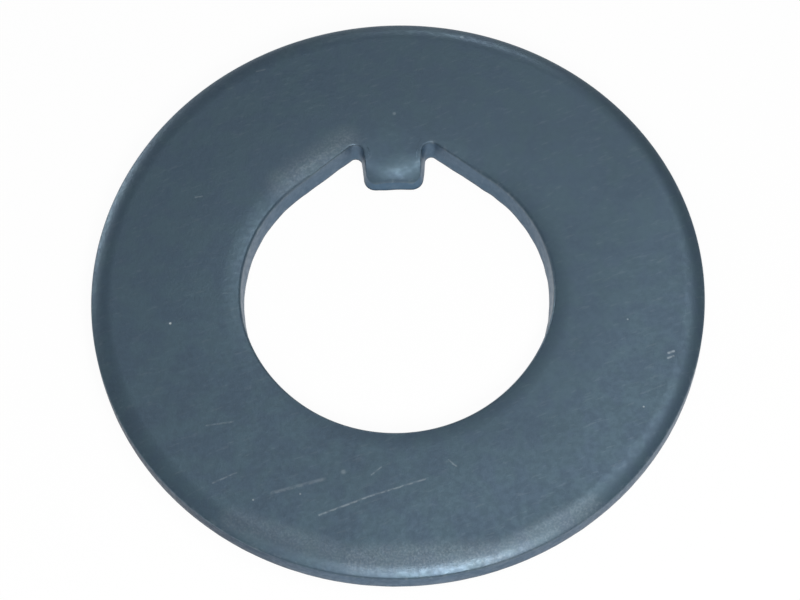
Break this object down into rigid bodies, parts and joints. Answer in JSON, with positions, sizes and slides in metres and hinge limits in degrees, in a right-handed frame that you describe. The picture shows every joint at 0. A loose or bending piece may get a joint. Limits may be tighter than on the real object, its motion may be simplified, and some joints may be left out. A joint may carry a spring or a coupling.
{
  "type": "tabbed lock washer",
  "caption": "Thick flat round steel washer with a central hole and an inner tab that keys into a spindle's groove, so that it cannot turn under the hub nut.",
  "frame": {"origin": "middle of the flat lower face, on the axis of the ring", "axes": "+Z along the ring's axis, out of the rolled upper face; +Y from the middle towards the tab"},
  "size_m": [0.052, 0.052, 0.0025],
  "materials": {
    "dark_steel": "dark blue-grey satin oxide on stamped steel, with fine scratches and lightly polished edges"
  },
  "bodies": {
    "root": {"lock_washer": "dark_steel"}
  },
  "joints": []
}
